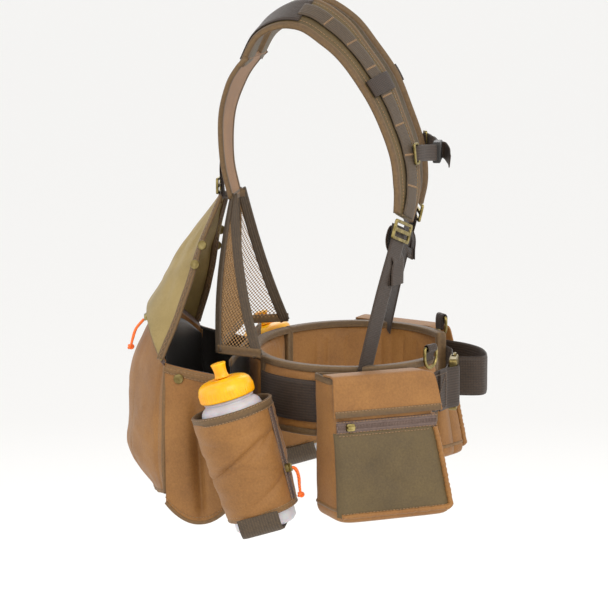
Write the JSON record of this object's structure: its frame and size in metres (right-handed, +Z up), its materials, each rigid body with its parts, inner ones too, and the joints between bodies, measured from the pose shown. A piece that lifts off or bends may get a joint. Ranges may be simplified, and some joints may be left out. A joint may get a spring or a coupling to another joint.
{
  "type": "upland strap vest with game bag",
  "caption": "Strap vest worn on shoulders and waist, with a padded belt, rear game bag, mesh back panel, tilted bottle holsters and flapped hip pouches.",
  "frame": {"origin": "on the wearer's waist axis at half the belt's height, 12 mm behind the centre of the waist oval", "axes": "+X to the wearer's front, +Y to the wearer's left, +Z up"},
  "size_m": [0.4493, 0.4922, 0.6318],
  "materials": {
    "canvas_tan": "coated woven nylon, tan",
    "canvas_olive": "coated woven nylon, olive",
    "webbing": "nylon webbing, dark brown",
    "mesh_tan": "open spacer mesh",
    "liner_black": "black coated liner",
    "zip_brown": "coil zip tape",
    "cord_orange": "braided cord",
    "brass_plated": "satin brass plate",
    "bronze_alloy": "anodised bronze alloy",
    "acetal_black": "moulded acetal",
    "bottle_white": "frosted polyethylene",
    "cap_yellow": "moulded polypropylene"
  },
  "bodies": {
    "harness": {"lumbar_pad": "canvas_tan", "belt_wing_r": "canvas_tan", "belt_wing_l": "canvas_tan", "buckle_frame": "bronze_alloy", "buckle_plate": "bronze_alloy", "buckle_rivets": "bronze_alloy", "belt_webbing_r": "webbing", "belt_webbing_l": "webbing", "shoulder_strap_r": "canvas_olive", "shoulder_strap_l": "canvas_olive", "daisy_webbings": "webbing", "strap_keepers": "webbing", "yoke_panel": "canvas_tan", "back_mesh": "mesh_tan", "lower_webbings": "webbing", "webbing_tails": "webbing", "ladder_locks": "brass_plated", "sternum_rings": "brass_plated", "sternum_webbings": "webbing", "sternum_socket": "acetal_black", "sternum_plug": "acetal_black", "rear_zip_tape": "zip_brown", "upper_flap": "canvas_olive", "rear_pocket": "canvas_tan", "bag_rear": "liner_black", "bag_front": "liner_black", "bag_side_r": "canvas_tan", "bag_side_l": "canvas_tan", "bag_floor": "liner_black", "flap_strap": "webbing", "flap_buckle": "brass_plated", "snaps": "brass_plated", "holster_r": "canvas_tan", "holster_l": "canvas_tan", "bottle_slings": "webbing", "hip_pouch_r": "canvas_tan", "hip_pouch_l": "canvas_tan", "pouch_zips": "zip_brown", "pouch_pockets": "canvas_olive", "d_ring_tabs": "webbing"},
    "bottle_r": {"bottle_r": "bottle_white"},
    "cap_r": {"bottle_cap_r": "cap_yellow"},
    "spout_r": {"bottle_spout_r": "cap_yellow"},
    "flap_r": {"pouch_flap_r": "canvas_tan"},
    "pouch_zip_r": {"pouch_slider_r": "brass_plated"},
    "holster_zip_r": {"holster_slider_r": "brass_plated", "holster_pull_r": "cord_orange"},
    "ring_r": {"d_ring_r": "brass_plated"},
    "bottle_l": {"bottle_l": "bottle_white"},
    "cap_l": {"bottle_cap_l": "cap_yellow"},
    "spout_l": {"bottle_spout_l": "cap_yellow"},
    "flap_l": {"pouch_flap_l": "canvas_tan"},
    "pouch_zip_l": {"pouch_slider_l": "brass_plated"},
    "holster_zip_l": {"holster_slider_l": "brass_plated", "holster_pull_l": "cord_orange"},
    "ring_l": {"d_ring_l": "brass_plated"},
    "rear_zip": {"rear_slider": "brass_plated", "rear_pull_cord": "cord_orange"},
    "clip_top": {"buckle_clip_top": "bronze_alloy"},
    "clip_bottom": {"buckle_clip_bottom": "bronze_alloy"}
  },
  "joints": [
    {"name": "bottle_r_lift", "type": "slide", "parent": "harness", "child": "bottle_r", "axis": [-0.289, 0, 0.9573], "range_m": [0, 0.17]},
    {"name": "cap_r_turn", "type": "hinge", "parent": "bottle_r", "child": "cap_r", "pos_m": [-0.072, -0.192, -0.146], "axis": [-0.289, 0, 0.9573], "range_deg": [0, 540]},
    {"name": "spout_r_pull", "type": "slide", "parent": "cap_r", "child": "spout_r", "axis": [-0.289, 0, 0.9573], "range_m": [0, 0.006]},
    {"name": "pouch_flap_r_open", "type": "hinge", "parent": "harness", "child": "flap_r", "pos_m": [0.0564, -0.17323, 0.0385], "axis": [-0.866, -0.5, 0], "range_deg": [0, 95]},
    {"name": "pouch_slider_r_run", "type": "slide", "parent": "harness", "child": "pouch_zip_r", "axis": [0.866, 0.5, 0], "range_m": [0, 0.1]},
    {"name": "holster_slider_r_run", "type": "slide", "parent": "harness", "child": "holster_zip_r", "axis": [-0.2426, -0.012, 0.97], "range_m": [-0.03, 0.07]},
    {"name": "d_ring_r_swing", "type": "hinge", "parent": "harness", "child": "ring_r", "pos_m": [0.1158, -0.11667, 0.058], "axis": [-0.515, -0.8572, 0], "range_deg": [0, 100]},
    {"name": "bottle_l_lift", "type": "slide", "parent": "harness", "child": "bottle_l", "axis": [-0.289, 0, 0.9573], "range_m": [0, 0.17]},
    {"name": "cap_l_turn", "type": "hinge", "parent": "bottle_l", "child": "cap_l", "pos_m": [-0.072, 0.192, -0.146], "axis": [-0.289, 0, 0.9573], "range_deg": [0, 540]},
    {"name": "spout_l_pull", "type": "slide", "parent": "cap_l", "child": "spout_l", "axis": [-0.289, 0, 0.9573], "range_m": [0, 0.006]},
    {"name": "pouch_flap_l_open", "type": "hinge", "parent": "harness", "child": "flap_l", "pos_m": [0.0564, 0.17323, 0.0385], "axis": [0.866, -0.5, 0], "range_deg": [0, 95]},
    {"name": "pouch_slider_l_run", "type": "slide", "parent": "harness", "child": "pouch_zip_l", "axis": [0.866, -0.5, 0], "range_m": [0, 0.1]},
    {"name": "holster_slider_l_run", "type": "slide", "parent": "harness", "child": "holster_zip_l", "axis": [-0.2426, 0.012, 0.97], "range_m": [-0.03, 0.07]},
    {"name": "d_ring_l_swing", "type": "hinge", "parent": "harness", "child": "ring_l", "pos_m": [0.1158, 0.11667, 0.058], "axis": [0.515, -0.8572, 0], "range_deg": [0, 100]},
    {"name": "rear_slider_run", "type": "hinge", "parent": "harness", "child": "rear_zip", "pos_m": [-0.1338, 0, -0.0654], "axis": [0.8222, 0, 0.5692], "range_deg": [-61, 27]},
    {"name": "clip_top_press", "type": "hinge", "parent": "harness", "child": "clip_top", "pos_m": [0.1393, 0.004, 0.02], "axis": [1, 0, 0], "range_deg": [0, 8], "stiffness_Nm_per_rad": 0.2},
    {"name": "clip_bottom_press", "type": "hinge", "parent": "harness", "child": "clip_bottom", "pos_m": [0.1393, 0.004, -0.02], "axis": [-1, 0, 0], "range_deg": [0, 8], "stiffness_Nm_per_rad": 0.2}
  ]
}
